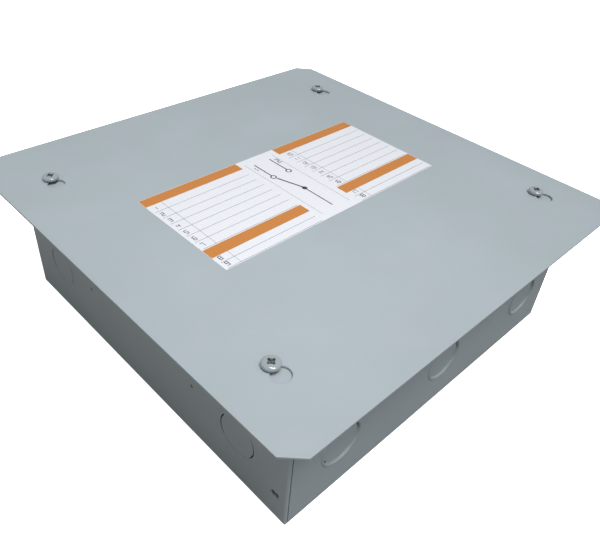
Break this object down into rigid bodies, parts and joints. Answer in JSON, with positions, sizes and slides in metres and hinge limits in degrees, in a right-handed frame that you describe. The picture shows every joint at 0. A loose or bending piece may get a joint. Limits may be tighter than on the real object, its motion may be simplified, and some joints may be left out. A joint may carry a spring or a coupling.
{
  "type": "manual transfer switch",
  "caption": "Flush-mount steel box with a keyhole-hung cover, holding two interlocked breakers that a sliding grip switches over between utility and generator supply.",
  "frame": {"origin": "middle of the back panel, on the wall face", "axes": "+Z out of the wall through the cover, +Y up when hung on a wall, +X to the right seen from the front"},
  "size_m": [0.394, 0.394, 0.1298],
  "materials": {
    "grey_enamel": "satin blue-grey enamel on steel sheet",
    "zinc_steel": "bright zinc plate",
    "galvanised_sheet": "galvanised sheet with faint spangle",
    "aluminium": "tin-plated aluminium",
    "copper": "bare copper bar",
    "black_moulding": "matte black moulding",
    "toggle_moulding": "satin black moulding",
    "red_moulding": "red moulding",
    "brown_moulding": "red-brown insulating moulding",
    "cream_insulator": "cream glass-filled insulator",
    "green_steel": "green dyed zinc screws",
    "label_stock": "white film label with orange header bars"
  },
  "bodies": {
    "enclosure": {"box_wrap": "grey_enamel", "top_end_wall": "grey_enamel", "bottom_end_wall": "grey_enamel", "knockout_slugs": "grey_enamel", "cover_weld_nuts": "zinc_steel", "pan_studs": "zinc_steel", "pan_spacers": "zinc_steel", "mounting_pan": "galvanised_sheet", "pan_nuts": "zinc_steel", "neutral_bar": "aluminium", "neutral_bar_insulators": "cream_insulator", "neutral_bar_screws": "zinc_steel", "ground_bar": "aluminium", "ground_bar_feet": "zinc_steel", "ground_bar_screws": "green_steel", "utility_breaker_base": "black_moulding", "utility_breaker_cover": "black_moulding", "utility_case_screws": "zinc_steel", "utility_line_contacts": "copper", "utility_line_lugs": "aluminium", "utility_lug_screws": "zinc_steel", "utility_terminal_shelf": "black_moulding", "utility_blade_pin": "zinc_steel", "utility_toggle_pin": "zinc_steel", "generator_breaker_base": "black_moulding", "generator_breaker_cover": "black_moulding", "generator_case_screws": "zinc_steel", "generator_line_contacts": "copper", "generator_line_lugs": "aluminium", "generator_lug_screws": "zinc_steel", "generator_terminal_shelf": "black_moulding", "generator_blade_pin": "zinc_steel", "generator_toggle_pin": "zinc_steel", "load_bus_l1": "copper", "load_bus_l2": "copper", "load_terminal_base": "black_moulding", "load_lugs": "aluminium", "load_lug_screws": "zinc_steel", "load_base_screws": "zinc_steel", "guide_rail_left": "galvanised_sheet", "guide_rail_right": "galvanised_sheet", "rail_screws": "zinc_steel", "breaker_base_screws": "zinc_steel", "shelf_screws": "zinc_steel"},
    "cover_screws": {"cover_screws": "grey_enamel"},
    "cover": {"cover_plate": "grey_enamel", "directory_label": "label_stock"},
    "carriage": {"transfer_carriage": "galvanised_sheet", "carriage_pins": "zinc_steel", "transfer_grip": "red_moulding", "grip_screws": "zinc_steel"},
    "utility_toggle": {"utility_toggle": "toggle_moulding"},
    "generator_toggle": {"generator_toggle": "toggle_moulding"},
    "utility_contacts": {"utility_crossbar": "brown_moulding", "utility_blades": "copper", "utility_contact_springs": "zinc_steel"},
    "generator_contacts": {"generator_crossbar": "brown_moulding", "generator_blades": "copper", "generator_contact_springs": "zinc_steel"}
  },
  "joints": [
    {"name": "cover_lift", "type": "slide", "parent": "enclosure", "child": "cover_screws", "axis": [0, 0, 1], "range_m": [0, 0.3]},
    {"name": "cover_unhook", "type": "slide", "parent": "cover_screws", "child": "cover", "axis": [0, 1, 0], "range_m": [0, 0.009]},
    {"name": "transfer_slide", "type": "slide", "parent": "enclosure", "child": "carriage", "axis": [0, 1, 0], "range_m": [0, 0.01737]},
    {"name": "utility_toggle_tilt", "type": "hinge", "parent": "enclosure", "child": "utility_toggle", "pos_m": [0, 0.058, 0.0615], "axis": [-1, 0, 0], "range_deg": [0, 44.02]},
    {"name": "generator_toggle_tilt", "type": "hinge", "parent": "enclosure", "child": "generator_toggle", "pos_m": [0, -0.058, 0.0615], "axis": [-1, 0, 0], "range_deg": [0, 44.02]},
    {"name": "utility_contact_swing", "type": "hinge", "parent": "enclosure", "child": "utility_contacts", "pos_m": [0, 0.06, 0.0355], "axis": [1, 0, 0], "range_deg": [0, 25.02]},
    {"name": "generator_contact_swing", "type": "hinge", "parent": "enclosure", "child": "generator_contacts", "pos_m": [0, -0.06, 0.0355], "axis": [1, 0, 0], "range_deg": [0, 25.02]}
  ],
  "couplings": [
    {"joint": "utility_toggle_tilt", "follows": "transfer_slide", "rad_per_m": 44.203},
    {"joint": "generator_toggle_tilt", "follows": "transfer_slide", "rad_per_m": 44.203},
    {"joint": "utility_contact_swing", "follows": "transfer_slide", "rad_per_m": 25.115},
    {"joint": "generator_contact_swing", "follows": "transfer_slide", "rad_per_m": 25.115}
  ]
}
